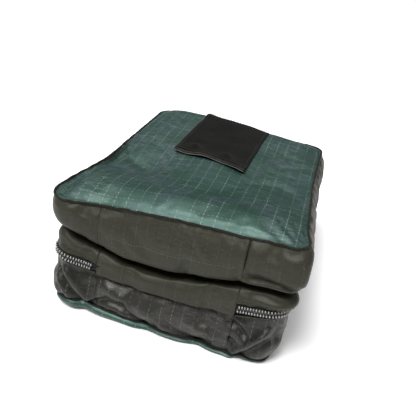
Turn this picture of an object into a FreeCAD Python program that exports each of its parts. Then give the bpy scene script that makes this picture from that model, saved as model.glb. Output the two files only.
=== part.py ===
"""Zip-round foam block: a small soft landing cushion in a two-part cloth cover.

The cover is a flat-topped box of coated cloth.  A coil zip runs round the left, back and right
walls and a little way along the front from both corners.  Between its two ends the front wall is
plain cloth and acts as the hinge, so the upper half of the cover, the lid, tips forward over it.
One foam slab fills the lid and one fills the base, and the wall folds inward at the waist between
them.  Two zip sliders meet nose to nose in the middle of the back wall.

Frame: millimetres, +Z up, front wall towards -Y, origin in the middle of the resting face.
An "inset" is the distance inward from the widest outline of the walls, seen from above.
"""

import FreeCAD, Part
import os
import re

import Sketcher
from FreeCAD import Vector

DOC = FreeCAD.newDocument("FoamBlock")
SHEET = DOC.addObject("Spreadsheet::Sheet", "Dims")

# Driving dimensions, in millimetres and degrees.
DIMENSIONS = {
    "width": 200,  # across the widest part of the walls, X
    "depth": 250,  # front to back, Y
    "corner": 16,  # plan radius of the corners on the widest outline
    "corner_least": 4,
    "cloth": 1,  # thickness of each cloth layer
    "foot_inset": 27,  # edge of the flat resting face
    "foot_seam_z": 9,  # seam between the bottom panel and the wall
    "foot_seam_inset": 5,
    "belly_z": 28,  # fullest height of the lower wall
    "zip_z": 50,  # middle of the zip, and the height of the hinge
    "zip_inset": 1,
    "flat_z": 63,  # top of the upright strip above the zip
    "waist_z": 73,  # inward fold of the wall
    "waist_inset": 12,
    "shoulder_z": 83,
    "chest_z": 97,  # fullest height of the upper wall
    "top_seam_z": 116,
    "top_seam_inset": 3,
    "crown_z": 126,  # flat middle of the top panel
    "crown_inset": 18,
    "panel": 120,  # width of the plain cloth hinge panel in the front wall
    "fold_gap": 0.2,  # half the gap between the two halves of the hinge panel
    "chain_gap": 0.9,  # half the gap between the two zip coils
    "coil_high": 2.2,
    "coil_proud": 0.4,  # how far the coil stands outside the widest outline
    "tape": 0.8,  # thickness of the zip tape
    "tape_high": 10,
    "tape_clear": 0.2,  # between the tape and the wall that it is sewn to
    "edge_gap": 1.9,  # from the coil to the folded edge of the wall
    "piping": 2.4,  # diameter of the cord in the piped seams
    "binding": 1,  # thickness of the tape that binds the raw edges inside
    "binding_high": 6,
    "binding_wide": 12,
    "foam_side_inset": 8,
    "foam_clear": 1.5,  # from each slab to the height of the waist fold
    "patch_wide": 78,
    "patch_deep": 110,
    "patch_thick": 1.6,
    "patch_corner": 3,
    "patch_x": -5.5,
    "patch_y": 48,
    "patch_turn": -6,
    "nose": 0.8,  # from a slider's nose to the middle of the back wall
    "slider_long": 13.2,
    "nose_half": 3.2,
    "slider_half": 5.5,
    "tail_half": 4.4,
    "shoulder_back": 3,  # from the nose to the slider's widest part
    "plate": 1.4,
    "plate_clear": 0.4,  # from the slider's plates to the chain and its tape
    "web_long": 4,  # web that joins the two plates inside the nose
    "web_half": 0.5,
    "rail": 1.2,  # rail along the lower edge of the outer plate
    "bridge_long": 11,
    "bridge_high": 3.4,
    "bridge_half": 1,
    "bridge_bar": 1.2,
    "pivot": 6.7,  # from the slider's nose to the pull tab's pin
    "pivot_out": 1,  # from the outer plate to the middle of the pin
    "pin": 1.2,  # diameter of the pin, and thickness of the tab
    "slot_half": 1.4,
    "slot_long": 6.1,
    "neck_half": 2.9,
    "tab_half": 4.5,
    "tab_long": 24,
    "hole": 4,  # diameter of the round hole near the tab's end
}

for row, (alias, size) in enumerate(DIMENSIONS.items(), start=1):
    SHEET.set(f"A{row}", alias)
    SHEET.set(f"B{row}", str(size))
    SHEET.setAlias(f"B{row}", alias)
DOC.recompute()

PARTS = []


def cells(formula):
    """The formula as FreeCAD reads it: each alias gets the sheet's name in front."""

    def named(word):
        return f"Dims.{word[0]}" if word[0] in DIMENSIONS else word[0]

    return re.sub(r"[a-z_]+", named, formula)


def keep(item, label):
    """Lists a finished sub-part under its name."""
    item.Label = label
    PARTS.append(item)
    return item


# ---------------------------------------------------------------- sketches and features


def sketch_on(owner, plane, name, lift):
    """A sketch parallel to one of the body's own origin planes, lifted along its normal."""
    made = owner.newObject("Sketcher::SketchObject", name)
    face = [each for each in owner.Origin.OriginFeatures if each.Role == plane][0]
    made.AttachmentSupport = [(face, "")]
    made.MapMode = "FlatFace"
    made.setExpression("AttachmentOffset.Base.z", cells(lift))
    made.Visibility = False
    return made


def pin_point(sketch, geometry, end, across, upward):
    """Holds one point of the sketch at a position given by two formulas."""
    for kind, formula in (("DistanceX", across), ("DistanceY", upward)):
        rule = sketch.addConstraint(Sketcher.Constraint(kind, -1, 1, geometry, end, 1.0))
        sketch.setExpression(f"Constraints[{rule}]", cells(formula))


def draw_polygon(sketch, corners):
    """A closed outline of straight edges through corners given as pairs of formulas."""
    count = len(corners)
    first = sketch.GeometryCount
    start = [Vector(step, step * step, 0) for step in range(1, count + 1)]
    for step in range(count):
        edge = Part.LineSegment(start[step], start[(step + 1) % count])
        sketch.addGeometry(edge, False)
    for step in range(count):
        after = (step + 1) % count
        sketch.addConstraint(Sketcher.Constraint("Coincident", first + step, 2, first + after, 1))
        pin_point(sketch, first + step, 1, *corners[step])


def draw_circle(sketch, across, upward, radius):
    """A circle with its centre and radius given by formulas."""
    index = sketch.addGeometry(Part.Circle(Vector(1, 1, 0), Vector(0, 0, 1), 1), False)
    pin_point(sketch, index, 3, across, upward)
    rule = sketch.addConstraint(Sketcher.Constraint("Radius", index, 1.0))
    sketch.setExpression(f"Constraints[{rule}]", cells(radius))


def draw_rounded(sketch, half_x, half_y, radius):
    """A rounded rectangle about the sketch's origin: four lines and four tangent arcs."""
    out_x, out_y, bend = 100.0, 125.0, 16.0
    in_x, in_y = out_x - bend, out_y - bend
    quarter = 1.5707963267948966

    def corner(x, y, turns):
        ring = Part.Circle(Vector(x, y, 0), Vector(0, 0, 1), bend)
        return Part.ArcOfCircle(ring, turns * quarter, (turns + 1) * quarter)

    def line(x1, y1, x2, y2):
        return Part.LineSegment(Vector(x1, y1, 0), Vector(x2, y2, 0))

    pieces = [
        line(-in_x, -out_y, in_x, -out_y),
        corner(in_x, -in_y, 3),
        line(out_x, -in_y, out_x, in_y),
        corner(in_x, in_y, 0),
        line(in_x, out_y, -in_x, out_y),
        corner(-in_x, in_y, 1),
        line(-out_x, in_y, -out_x, -in_y),
        corner(-in_x, -in_y, 2),
    ]
    sketch.addGeometry(pieces, False)
    rules = []
    for step in range(8):
        rules.append(Sketcher.Constraint("Tangent", step, 2, (step + 1) % 8, 1))
    for step, way in ((0, "Horizontal"), (2, "Vertical"), (4, "Horizontal"), (6, "Vertical")):
        rules.append(Sketcher.Constraint(way, step))
    for step in (3, 5, 7):
        rules.append(Sketcher.Constraint("Equal", 1, step))
    sketch.addConstraint(rules)
    sized = [
        (Sketcher.Constraint("Radius", 1, bend), radius),
        (Sketcher.Constraint("DistanceX", -1, 1, 2, 1, out_x), half_x),
        (Sketcher.Constraint("DistanceX", 6, 1, -1, 1, out_x), half_x),
        (Sketcher.Constraint("DistanceY", -1, 1, 4, 1, out_y), half_y),
        (Sketcher.Constraint("DistanceY", 0, 1, -1, 1, out_y), half_y),
    ]
    for rule, formula in sized:
        index = sketch.addConstraint(rule)
        sketch.setExpression(f"Constraints[{index}]", cells(formula))


def outline(owner, name, height, inset):
    """The wall's outline at a height, inset from the widest outline."""
    made = sketch_on(owner, "XY_Plane", name, height)
    draw_rounded(
        made,
        f"width / 2 - ({inset})",
        f"depth / 2 - ({inset})",
        f"max(corner - ({inset}); corner_least)",
    )
    return made


def loft(owner, kind, name, levels):
    """A ruled loft through the outlines at each (height, inset)."""
    drawn = [outline(owner, f"{name}_{i}", *level) for i, level in enumerate(levels)]
    made = owner.newObject(f"PartDesign::{kind}Loft", name)
    made.Profile = drawn[0]
    made.Sections = drawn[1:]
    made.Ruled = True
    return made


def body(name):
    return DOC.addObject("PartDesign::Body", name)


def shell(name, levels, thick):
    """A wall through (height, inset) levels, open at the top and the bottom."""
    owner = body(name)
    loft(owner, "Additive", f"{name}_outer", levels)
    DOC.recompute()
    loft(owner, "Subtractive", f"{name}_inner", [(z, f"{inset} + {thick}") for z, inset in levels])
    return owner


def box(name, x_range, y_range, z_range):
    """A box between (low, high) formulas along each axis."""
    made = DOC.addObject("Part::Box", name)
    ranges = (x_range, y_range, z_range)
    for size, axis, (low, high) in zip(("Length", "Width", "Height"), "xyz", ranges):
        made.setExpression(size, cells(f"({high}) - ({low})"))
        made.setExpression(f"Placement.Base.{axis}", cells(low))
    return made


def boolean(kind, name, base, tool):
    made = DOC.addObject(f"Part::{kind}", name)
    made.Base = base
    made.Tool = tool
    return made


def pad(owner, name, sketch, length, both_ways=False):
    """Pads a sketch along its normal, or evenly to both sides of it."""
    made = owner.newObject("PartDesign::Pad", name)
    made.Profile = sketch
    made.setExpression("Length", cells(length))
    if both_ways:
        made.SideType = "Symmetric"
    return made


# ---------------------------------------------------------------- cover walls

FRONT_RANGE = ("0 - depth / 2 - piping", "0 - depth / 4")
HINGE_WINDOW = box(
    "hinge_window", ("0 - panel / 2", "panel / 2"), FRONT_RANGE, ("0", "crown_z")
)

LOWER_LEVELS = [("foot_seam_z", "foot_seam_inset"), ("belly_z", "0")]
UPPER_LEVELS = [
    ("flat_z", "zip_inset"),
    ("waist_z", "waist_inset"),
    ("shoulder_z", "zip_inset"),
    ("chest_z", "0"),
    ("top_seam_z", "top_seam_inset"),
]
CHAIN_HALF = "chain_gap + coil_high + edge_gap"
LOWER_WRAP = LOWER_LEVELS + [(f"zip_z - ({CHAIN_HALF})", "zip_inset")]
LOWER_FRONT = LOWER_LEVELS + [("zip_z - fold_gap", "zip_inset")]
UPPER_WRAP = [(f"zip_z + {CHAIN_HALF}", "zip_inset")] + UPPER_LEVELS
UPPER_FRONT = [("zip_z + fold_gap", "zip_inset")] + UPPER_LEVELS

for half, wrap_levels, front_levels in (
    ("lower", LOWER_WRAP, LOWER_FRONT),
    ("upper", UPPER_WRAP, UPPER_FRONT),
):
    wrap_wall = shell(f"{half}_wrap_wall", wrap_levels, "cloth")
    front_wall = shell(f"{half}_front_wall", front_levels, "cloth")
    wrap = boolean("Cut", f"{half}_wrap", wrap_wall, HINGE_WINDOW)
    front = boolean("Common", f"{half}_front", front_wall, HINGE_WINDOW)
    keep(wrap, f"{half}_gusset_wrap")
    keep(front, f"{half}_gusset_front")


# ---------------------------------------------------------------- top and bottom panels


def dished_panel(name, outer, inner):
    """A shallow dish of cloth that slopes from its seam to a flat middle."""
    owner = body(name)
    loft(owner, "Additive", f"{name}_outer", outer)
    DOC.recompute()
    loft(owner, "Subtractive", f"{name}_inner", inner)
    keep(owner, name)


dished_panel(
    "bottom_panel",
    [("foot_seam_z", "foot_seam_inset"), ("0", "foot_inset")],
    [("foot_seam_z", "foot_seam_inset + 2 * cloth"), ("cloth", "foot_inset")],
)
dished_panel(
    "top_panel",
    [("top_seam_z", "top_seam_inset"), ("crown_z", "crown_inset")],
    [("top_seam_z", "top_seam_inset + 3 * cloth"), ("crown_z - cloth", "crown_inset")],
)


# ---------------------------------------------------------------- zip tapes and coils

TAPE_INSET = "zip_inset + cloth + tape_clear"
CHAIN = {
    "lower_zip_tape": ("zip_z - chain_gap - tape_high", "zip_z - chain_gap", TAPE_INSET, "tape"),
    "upper_zip_tape": ("zip_z + chain_gap", "zip_z + chain_gap + tape_high", TAPE_INSET, "tape"),
    "lower_zip_coil": (
        "zip_z - chain_gap - coil_high",
        "zip_z - chain_gap",
        "0 - coil_proud",
        f"coil_proud + {TAPE_INSET}",
    ),
    "upper_zip_coil": (
        "zip_z + chain_gap",
        "zip_z + chain_gap + coil_high",
        "0 - coil_proud",
        f"coil_proud + {TAPE_INSET}",
    ),
}

for label, (low, high, inset, thick) in CHAIN.items():
    ring = shell(f"{label}_ring", [(low, inset), (high, inset)], thick)
    keep(boolean("Cut", f"{label}_cut", ring, HINGE_WINDOW), label)


# ---------------------------------------------------------------- piped seams


def piping(name, height, inset):
    """A round cord sewn into a seam, all the way round the outline."""
    owner = body(name)
    path = outline(owner, f"{name}_path", height, inset)
    section = sketch_on(owner, "XZ_Plane", f"{name}_section", "0")
    draw_circle(section, f"width / 2 - ({inset})", height, "piping / 2")
    DOC.recompute()
    made = owner.newObject("PartDesign::AdditivePipe", f"{name}_pipe")
    made.Profile = section
    made.Spine = (path, [])
    keep(owner, name)


piping("top_seam_piping", "top_seam_z", "top_seam_inset - piping / 2 - 0.05")
piping("bottom_seam_piping", "foot_seam_z", "foot_seam_inset - piping / 2 - 0.05")


# ---------------------------------------------------------------- bindings on the raw edges inside


def seam_binding(name, low, high, inset):
    """A loop of tape inside the wall, folded over the raw edges of a seam."""
    keep(shell(name, [(low, inset), (high, inset)], "binding"), name)


seam_binding(
    "bottom_seam_binding",
    "foot_seam_z + cloth",
    "foot_seam_z + cloth + binding_high",
    "foot_seam_inset + cloth",
)
seam_binding(
    "top_seam_binding",
    "top_seam_z - cloth - binding_high",
    "top_seam_z - cloth",
    "top_seam_inset + cloth",
)

LOWER_LINING = [
    ("foot_seam_z + 2 * binding_high", "foot_seam_inset / 2 + cloth"),
    ("belly_z", "cloth"),
    ("zip_z - chain_gap - tape_high - cloth", "zip_inset + cloth"),
]
UPPER_LINING = [
    ("shoulder_z + cloth", "zip_inset + cloth"),
    ("chest_z", "cloth"),
    ("top_seam_z - 2 * cloth - binding_high", "top_seam_inset + cloth"),
]

for half, levels in (("lower", LOWER_LINING), ("upper", UPPER_LINING)):
    for side, sign in (("left", "-1"), ("right", "1")):
        lining = shell(f"{half}_{side}_lining", levels, "binding")
        middle = f"{sign} * panel / 2"
        window = box(
            f"{half}_{side}_window",
            (f"{middle} - binding_wide / 2", f"{middle} + binding_wide / 2"),
            FRONT_RANGE,
            ("0", "crown_z"),
        )
        upright = boolean("Common", f"{half}_{side}_upright", lining, window)
        keep(upright, f"{half}_seam_binding_{side}")


# ---------------------------------------------------------------- foam slabs

FOAM_LEVELS = {
    "lower_foam_slab": [
        ("2 * cloth", "foot_inset + 2 * cloth"),
        ("foot_seam_z + cloth", "foam_side_inset + cloth"),
        ("flat_z", "foam_side_inset"),
        ("waist_z - foam_clear", "waist_inset + 3 * cloth"),
    ],
    "upper_foam_slab": [
        ("waist_z + foam_clear", "waist_inset + 3 * cloth"),
        ("shoulder_z", "foam_side_inset"),
        ("top_seam_z - cloth", "foam_side_inset + cloth"),
        ("crown_z - 2 * cloth", "crown_inset + 3 * cloth"),
    ],
}

for label, levels in FOAM_LEVELS.items():
    slab = body(label)
    loft(slab, "Additive", f"{label}_loft", levels)
    keep(slab, label)


# ---------------------------------------------------------------- loop patch on the top

patch = body("loop_patch")
patch_outline = sketch_on(patch, "XY_Plane", "loop_patch_outline", "crown_z")
draw_rounded(patch_outline, "patch_wide / 2", "patch_deep / 2", "patch_corner")
pad(patch, "loop_patch_pad", patch_outline, "patch_thick")
patch.Placement = FreeCAD.Placement(Vector(0, 0, 0), FreeCAD.Rotation(Vector(0, 0, 1), -6))
patch.setExpression("Placement.Base.x", cells("patch_x"))
patch.setExpression("Placement.Base.y", cells("patch_y"))
patch.setExpression("Placement.Rotation.Angle", cells("patch_turn"))
keep(patch, "loop_patch")


# ---------------------------------------------------------------- zip sliders and pull tabs

# A sketch on the XZ plane faces -Y, so a lift towards the back wall is negative.
OUTER_FACE = "depth / 2 + coil_proud + plate_clear"
INNER_FACE = f"depth / 2 - ({TAPE_INSET}) - tape - plate_clear"


def slider_plate(owner, name, side, middle):
    """One of the slider's two flat plates, narrow at the nose and widest just behind it."""
    made = sketch_on(owner, "XZ_Plane", f"{name}_outline", f"0 - ({middle})")
    tail = "nose + slider_long"
    upper_half = [
        ("nose", "nose_half"),
        ("nose + shoulder_back", "slider_half"),
        (tail, "tail_half"),
    ]
    upper = [(f"{side} * ({x})", f"zip_z + {half}") for x, half in upper_half]
    lower = [(f"{side} * ({x})", f"zip_z - {half}") for x, half in reversed(upper_half)]
    draw_polygon(made, upper + lower)
    return pad(owner, name, made, "plate", True)


def slider(side_name, side):
    """A slider on the back wall with its nose towards the middle of the wall."""
    name = f"zip_slider_{side_name}"
    owner = body(name)
    slider_plate(owner, f"{name}_outer", side, f"{OUTER_FACE} + plate / 2")
    DOC.recompute()

    web = sketch_on(owner, "XY_Plane", f"{name}_web_outline", "zip_z")
    start, stop = f"{side} * (nose + 0.4)", f"{side} * (nose + 0.4 + web_long)"
    low, high = f"{INNER_FACE} - plate / 2", f"{OUTER_FACE} + plate / 2"
    draw_polygon(web, [(start, low), (stop, low), (stop, high), (start, high)])
    pad(owner, f"{name}_web", web, "2 * web_half", True)
    DOC.recompute()

    slider_plate(owner, f"{name}_inner", side, f"{INNER_FACE} - plate / 2")
    DOC.recompute()

    rail = sketch_on(owner, "XZ_Plane", f"{name}_rail_outline", f"0 - ({OUTER_FACE} + plate / 2)")
    near, far = f"{side} * (nose + shoulder_back)", f"{side} * (nose + slider_long)"
    draw_polygon(
        rail,
        [
            (near, "zip_z - slider_half"),
            (near, "zip_z - slider_half + rail"),
            (far, "zip_z - tail_half + rail"),
            (far, "zip_z - tail_half"),
        ],
    )
    made = pad(owner, f"{name}_rail", rail, "plate / 2 + rail")
    made.Reversed = False
    DOC.recompute()

    bridge = sketch_on(owner, "XY_Plane", f"{name}_bridge_outline", "zip_z")
    foot = f"{OUTER_FACE} + plate / 2"
    top = f"{OUTER_FACE} + plate + bridge_high"
    sill = f"{OUTER_FACE} + plate"
    head = f"{OUTER_FACE} + plate + bridge_high - bridge_bar"
    begin, finish = "nose + 1.1", "nose + 1.1 + bridge_long"
    arch = [
        (begin, foot),
        (f"{begin} + 0.3", f"{top} - bridge_bar"),
        (f"{begin} + 1.8", top),
        (f"{finish} - 1.8", top),
        (f"{finish} - 0.3", f"{top} - bridge_bar"),
        (finish, foot),
        (f"{finish} - 1.6", foot),
        (f"{finish} - 1.6", sill),
        (f"{finish} - 2.2", head),
        (f"{begin} + 2.2", head),
        (f"{begin} + 1.6", sill),
        (f"{begin} + 1.6", foot),
    ]
    draw_polygon(bridge, [(f"{side} * ({x})", y) for x, y in arch])
    pad(owner, f"{name}_bridge", bridge, "2 * bridge_half", True)
    DOC.recompute()
    keep(owner, name)


def pull_tab(side_name, side):
    """A flat tab on a round pin that turns inside the slider's bridge."""
    name = f"pull_tab_{side_name}"
    owner = body(name)
    pin_y = f"{OUTER_FACE} + plate + pivot_out"
    flat = sketch_on(owner, "XZ_Plane", f"{name}_outline", f"0 - ({pin_y})")
    pin_x = "nose + pivot"
    upper = [
        (pin_x, "slot_half"),
        (pin_x, "neck_half"),
        (f"{pin_x} + slot_long", "neck_half"),
        (f"{pin_x} + slot_long + 3", "tab_half"),
        (f"{pin_x} + tab_long - 3", "tab_half"),
        (f"{pin_x} + tab_long - 0.9", "tab_half - 0.9"),
        (f"{pin_x} + tab_long", "tab_half - 3"),
    ]
    slot = (f"{pin_x} + slot_long", "slot_half")
    shape = [slot] + upper
    outline_up = [(f"{side} * ({x})", f"zip_z + {half}") for x, half in shape]
    outline_down = [(f"{side} * ({x})", f"zip_z - ({half})") for x, half in reversed(shape)]
    draw_polygon(flat, outline_up + outline_down)
    draw_circle(flat, f"{side} * ({pin_x} + tab_long - hole)", "zip_z", "hole / 2")
    pad(owner, f"{name}_plate", flat, "pin", True)
    DOC.recompute()

    section = sketch_on(owner, "XY_Plane", f"{name}_pin_outline", "zip_z")
    draw_circle(section, f"{side} * ({pin_x})", pin_y, "pin / 2")
    pad(owner, f"{name}_pin", section, "2 * neck_half", True)
    keep(owner, name)


for side_name, side in (("left", "-1"), ("right", "1")):
    slider(side_name, side)
    pull_tab(side_name, side)


# ---------------------------------------------------------------- check and export

DOC.recompute()

for item in DOC.Objects:
    if "Invalid" in item.State or "Error" in item.State:
        raise RuntimeError(f"{item.Label} failed: {item.State}")
for item in PARTS:
    if item.Shape.isNull() or not item.Shape.isValid() or len(item.Shape.Solids) != 1:
        raise RuntimeError(f"{item.Label} is not one valid solid")

os.makedirs("parts", exist_ok=True)
for item in PARTS:
    item.Shape.exportStep(f"parts/{item.Label}.step")
    limits = item.Shape.BoundBox
    print(
        f"{item.Label:26s} {item.Shape.Volume:11.1f} mm3  "
        f"x {limits.XMin:7.1f} {limits.XMax:7.1f}  "
        f"y {limits.YMin:7.1f} {limits.YMax:7.1f}  "
        f"z {limits.ZMin:6.1f} {limits.ZMax:6.1f}"
    )
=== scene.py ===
"""The zip-round foam block: its cloth cover, zip, piping and foam, on a plain studio floor."""

import math

import bmesh
import bpy
import numpy as np
from mathutils import Matrix, Vector


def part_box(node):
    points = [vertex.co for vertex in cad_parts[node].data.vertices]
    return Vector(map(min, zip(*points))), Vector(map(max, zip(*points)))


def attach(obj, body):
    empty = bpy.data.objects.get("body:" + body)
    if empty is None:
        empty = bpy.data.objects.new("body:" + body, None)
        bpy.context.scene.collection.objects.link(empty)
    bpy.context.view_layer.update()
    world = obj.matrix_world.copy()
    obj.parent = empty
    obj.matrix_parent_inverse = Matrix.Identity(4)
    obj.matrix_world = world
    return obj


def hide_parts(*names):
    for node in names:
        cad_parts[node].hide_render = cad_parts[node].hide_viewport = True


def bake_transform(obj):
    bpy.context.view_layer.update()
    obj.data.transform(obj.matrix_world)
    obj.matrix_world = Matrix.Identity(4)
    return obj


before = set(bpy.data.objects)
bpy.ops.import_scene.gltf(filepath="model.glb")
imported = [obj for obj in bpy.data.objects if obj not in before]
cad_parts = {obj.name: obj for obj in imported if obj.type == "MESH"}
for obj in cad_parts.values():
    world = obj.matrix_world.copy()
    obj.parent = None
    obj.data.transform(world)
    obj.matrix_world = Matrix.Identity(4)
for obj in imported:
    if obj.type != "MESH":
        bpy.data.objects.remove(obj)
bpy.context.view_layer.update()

MM = 0.001

# Sizes in millimetres, in the CAD frame.
HALF_X, HALF_Y, CORNER = 100.0, 125.0, 16.0
HINGE_HALF = 60.0  # the plain hinge panel spans this far each side of the middle
ZIP_OPENING = 4.6  # from the zip's middle to the folded edge of the wall
TOOTH_PITCH = 2.25
CLOTH = 0.7
FLOOR_CLEAR = 0.3
FOAM_GAP = 3.0  # from the foam to the cover
FOAM_SWELL = 0.4

WAVE_COUNT = 24  # sine waves in each patch of smooth noise
CLOTH_FRAMES = 20
CLOTH_STIFF, CLOTH_BEND = 4.0, 0.6


# ------------ small tools


def smooth(low, high, x):
    """0 at low, 1 at high, and smooth between; low may be the greater of the two."""
    t = np.clip((x - low) / (high - low), 0.0, 1.0)
    return t * t * (3 - 2 * t)


def waves(points, seed, size):
    """Smooth noise of about unit height over points in millimetres; size is its wavelength."""
    rng = np.random.default_rng(seed)
    total = np.zeros(len(points))
    for _ in range(WAVE_COUNT):
        way = rng.normal(size=points.shape[1])
        way *= 2 * math.pi / (np.linalg.norm(way) * size * rng.uniform(0.7, 1.5))
        total += np.sin(points @ way + rng.uniform(0, 2 * math.pi))
    return total / math.sqrt(WAVE_COUNT / 2)


def hump(x, middle, half):
    """A bell one unit high round middle; half is its half width."""
    return np.exp(-(((x - middle) / half) ** 2))


def unit(ways):
    """Vectors of length one."""
    return ways / np.linalg.norm(ways, axis=-1, keepdims=True)


def add_object(name, data):
    """A new object in the scene."""
    made = bpy.data.objects.new(name, data)
    bpy.context.scene.collection.objects.link(made)
    return made


def build_outline():
    """Distance along the widest outline from the middle of the back, with places and normals."""
    in_x, in_y = HALF_X - CORNER, HALF_Y - CORNER
    stops = [
        ("line", (0, HALF_Y), (-in_x, HALF_Y)),
        ("arc", (-in_x, in_y), 90),
        ("line", (-HALF_X, in_y), (-HALF_X, -in_y)),
        ("arc", (-in_x, -in_y), 180),
        ("line", (-in_x, -HALF_Y), (in_x, -HALF_Y)),
        ("arc", (in_x, -in_y), 270),
        ("line", (HALF_X, -in_y), (HALF_X, in_y)),
        ("arc", (in_x, in_y), 0),
        ("line", (in_x, HALF_Y), (0, HALF_Y)),
    ]
    places, normals = [], []
    for kind, first, second in stops:
        if kind == "line":
            a, b = np.array(first, float), np.array(second, float)
            way = (b - a) / np.linalg.norm(b - a)
            steps = np.linspace(0, 1, int(np.linalg.norm(b - a) * 4) + 1)[:-1]
            places += [a + (b - a) * t for t in steps]
            normals += [np.array([way[1], -way[0]])] * len(steps)
        else:
            turns = np.radians(np.linspace(second, second + 90, 100)[:-1])
            for turn in turns:
                normal = np.array([math.cos(turn), math.sin(turn)])
                places.append(np.array(first) + CORNER * normal)
                normals.append(normal)
    places.append(np.array([0.0, HALF_Y]))
    normals.append(np.array([0.0, 1.0]))
    places, normals = np.array(places), np.array(normals)
    far = np.concatenate([[0], np.cumsum(np.linalg.norm(np.diff(places, axis=0), axis=1))])
    return far, places, normals


FAR, PLACES, NORMALS = build_outline()
ROUND = FAR[-1]


def at_front(x):
    """Distance along the outline of a place on the front wall."""
    corner = math.pi / 2 * CORNER
    left_run = (HALF_X - CORNER) + 2 * corner + 2 * (HALF_Y - CORNER)
    return left_run + (x + HALF_X - CORNER)


def outline_at(s):
    """Places on the outline at distances s, with their outward normals."""
    s = np.mod(s, ROUND)
    place = np.stack([np.interp(s, FAR, PLACES[:, i]) for i in (0, 1)], axis=-1)
    normal = np.stack([np.interp(s, FAR, NORMALS[:, i]) for i in (0, 1)], axis=-1)
    return place, unit(normal)


# Stations round the outline, and how the cover sits at each.
STATIONS = {
    "back": 0.0,
    "back_left": 97.0,
    "left": 218.0,
    "left_dip": 268.0,
    "left_near": 314.0,
    "front_left": 339.5,
    "front_a": at_front(-70),
    "front_b": at_front(-34),
    "front_c": at_front(10),
    "front_d": at_front(58),
    "front_e": at_front(84),
    "front_right": 533.0,
    "right_near": 556.0,
    "right": 654.0,
    "back_right": 776.0,
}
# Each row runs round the stations in the order above: heights of the seams and folds, then how
# far the cover stands out beyond its usual profile at each level.
AROUND = {
    "foot_z": (9, 9, 9, 10, 11, 10.5, 10, 7, 4.5, 3.8, 3.5, 4.5, 7, 9, 9),
    "zip_z": (50, 50, 50, 51, 54, 57, 52, 50, 49.5, 52.5, 56, 57, 54, 50, 50),
    "waist_z": (74, 76, 79, 80, 81, 81, 67.5, 59, 59, 68.5, 74, 75, 75, 74, 74),
    "seam_z": (118, 120, 117, 116, 113, 108, 108, 111, 114, 115, 117.5, 118, 117.5, 116.5, 116.5),
    "foot_out": (0, 1, 0, 0, 0.5, 8, 3, 4, 4, 3, 2, 0, -4, -1, 1),
    "zip_out": (0, 1, 0, 0, 1, 5.5, 1, 0, 0, 0, 0, 2, -1, 0, 1),
    "band_out": (0, 1, 0, 0, 0, 2, 0, 0, 0, 0, 2, 8, 3, 0, 1),
    "waist_out": (0, 1, -2, -2, -2, -5, -1, 1, 1, 2, 4, 6, 4, 0, 1),
    "chest_out": (0, 2, 0, 0, 1, 3.5, 1, 0, 0, 0, 1.5, 12, 6, 0, 2),
    "seam_out": (0, 3, -3, -6, 2, 9.5, 1, 0, 0, 0, 1, 7, 1.5, -2, 1),
    "bottom_out": (3, 3, 3, 3, 4, 6, 7.5, 7.5, 7.5, 7, 5, 3, 1, 2, 3),
    "side": (0.6, 0.4, 0.5, 0.5, 0.5, 0.1, 0, 0, 0, 0, 0.1, 0.2, 0.4, 0.5, 0.4),
    "front": (0, 0, 0, 0, 0, 0, 0.6, 1, 1, 1, 0.5, 0.1, 0, 0, 0),
}
# The knots of the profile, counted up from the bottom seam, that each "out" row pushes on.
PUSH = {
    "foot_out": (1, 1, 0.9, 0.55, 0.15),
    "zip_out": (0, 0, 0, 0, 0.4, 1, 1, 1, 0.5),
    "band_out": (0, 0, 0, 0, 0, 0, 0, 0, 0.5, 1, 0.7),
    "waist_out": (0, 0, 0, 0, 0, 0, 0, 0, 0, 0, 0.3, 1, 0.6),
    "chest_out": (0, 0, 0, 0, 0, 0, 0, 0, 0, 0, 0, 0, 0.3, 0.7, 1, 0.7, 0),
    "seam_out": (0, 0, 0, 0, 0, 0, 0, 0, 0, 0, 0, 0, 0, 0, 0, 0.4, 1),
}


AROUND_REACH, AROUND_HALF = 12, 7  # how far along the outline a row is eased
# Where the wall swells at the sides: (knot, half width in knots, inset).
SIDE_SWELL = ((14, 1.6, -2.6), (3, 2.0, -0.8))


def around(name, s):
    """The named row at distances s along the outline, eased between its stations."""
    rows = np.array(AROUND[name], float)
    stops = np.array(list(STATIONS.values()))
    stops = np.concatenate([stops - ROUND, stops, stops + ROUND])
    rows = np.tile(rows, 3)
    reach = np.linspace(-AROUND_REACH, AROUND_REACH, 13)
    weight = hump(reach, 0, AROUND_HALF)
    near = np.mod(s, ROUND)[..., None] + reach
    return (np.interp(near, stops, rows) * weight).sum(-1) / weight.sum()


# The wall's profile from the bottom seam up to the top seam: (share of the way between two
# levels, inset).  "plain" is the usual wall and "front" is the hinge panel, whose lower edge hangs
# in a lip over the band below it.
PROFILE = {
    "plain": [
        (0, 0.00, 4), (0, 0.12, 0.5), (0, 0.34, -1.5), (0, 0.62, -1.5), (0, 0.78, -0.5),
        (0, 0.86, 0.2), (0, 0.93, 0.6), (0, 1.00, 0.8), (1, 0.30, 0), (1, 0.62, 0), (1, 0.86, 4),
        (1, 1.00, 12), (2, 0.07, 5), (2, 0.18, 0), (2, 0.44, -3), (2, 0.76, -1.5), (2, 1.00, 3),
    ],
    "front": [
        (0, 0.00, 4), (0, 0.14, 1.5), (0, 0.37, 0.8), (0, 0.62, 2.0), (0, 0.77, 4.6),
        (0, 0.85, 4.2), (0, 0.81, -2.2), (0, 1.00, -2.2), (1, 0.42, -1.8), (1, 0.76, 0.0),
        (1, 1.00, 3.5), (1, 1.00, 15), (2, 0.10, 14), (2, 0.15, 3.0), (2, 0.33, -1.8),
        (2, 0.76, -3.2), (2, 1.00, 3),
    ],
}
LEVELS = ("foot_z", "zip_z", "waist_z", "seam_z")
ZIP_KNOT = 7
LIP_Z = 42.5  # the lower cloth of the hinge panel starts behind the lip, below this height


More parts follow.
